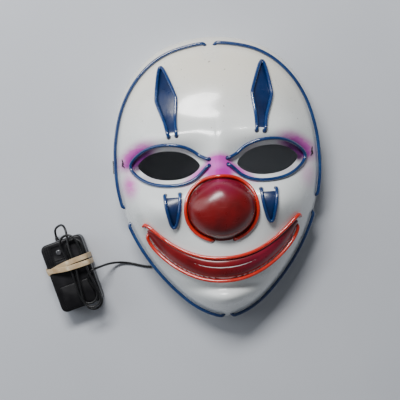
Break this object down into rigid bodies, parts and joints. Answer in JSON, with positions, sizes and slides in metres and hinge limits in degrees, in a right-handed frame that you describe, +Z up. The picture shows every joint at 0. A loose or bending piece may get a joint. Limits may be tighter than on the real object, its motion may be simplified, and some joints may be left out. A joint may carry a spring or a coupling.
{
  "type": "clown mask with light wires, lead and battery pack",
  "caption": "Moulded clown face mask, hollow at the back, edged with light wires, with a head strap, a thin lead and a battery pack with a push button.",
  "frame": {"origin": "middle of the base of the mask and the battery pack together, on the surface that they lie on", "axes": "+Z up, out of the face; +Y up the face to the forehead; +X to the picture's right"},
  "size_m": [0.2696, 0.266, 0.1024],
  "materials": {
    "moulded_face": "glossy white moulded plastic with painted marks",
    "blue_wire": "glossy blue sleeve",
    "red_wire": "glossy red sleeve",
    "elastic": "black woven elastic",
    "lead": "black cable sheath",
    "pack_case": "satin black plastic",
    "button": "glossy dark grey",
    "rubber_band": "natural rubber"
  },
  "bodies": {
    "mask": {"mask_shell": "moulded_face", "rim_wire_upper_left": "blue_wire", "rim_wire_upper_right": "blue_wire", "rim_wire_lower_left": "blue_wire", "rim_wire_lower_right": "blue_wire", "eye_wire_left": "blue_wire", "eye_wire_right": "blue_wire", "diamond_wire_left": "blue_wire", "diamond_wire_right": "blue_wire", "tear_wire_left": "blue_wire", "tear_wire_right": "blue_wire", "nose_wire": "red_wire", "mouth_wire_upper": "red_wire", "mouth_wire_lower": "red_wire", "head_strap": "elastic", "wire_junction": "lead", "lead_cord": "lead", "cord_hank": "lead", "cord_tail": "lead", "pack_base": "pack_case", "pack_lid": "pack_case", "pack_gland": "pack_case", "rubber_band": "rubber_band"},
    "button": {"mode_button": "button"}
  },
  "joints": [
    {"name": "button_press", "type": "slide", "parent": "mask", "child": "button", "axis": [0, 0, -1], "range_m": [0, 0.0008], "stiffness_N_per_m": 300}
  ]
}
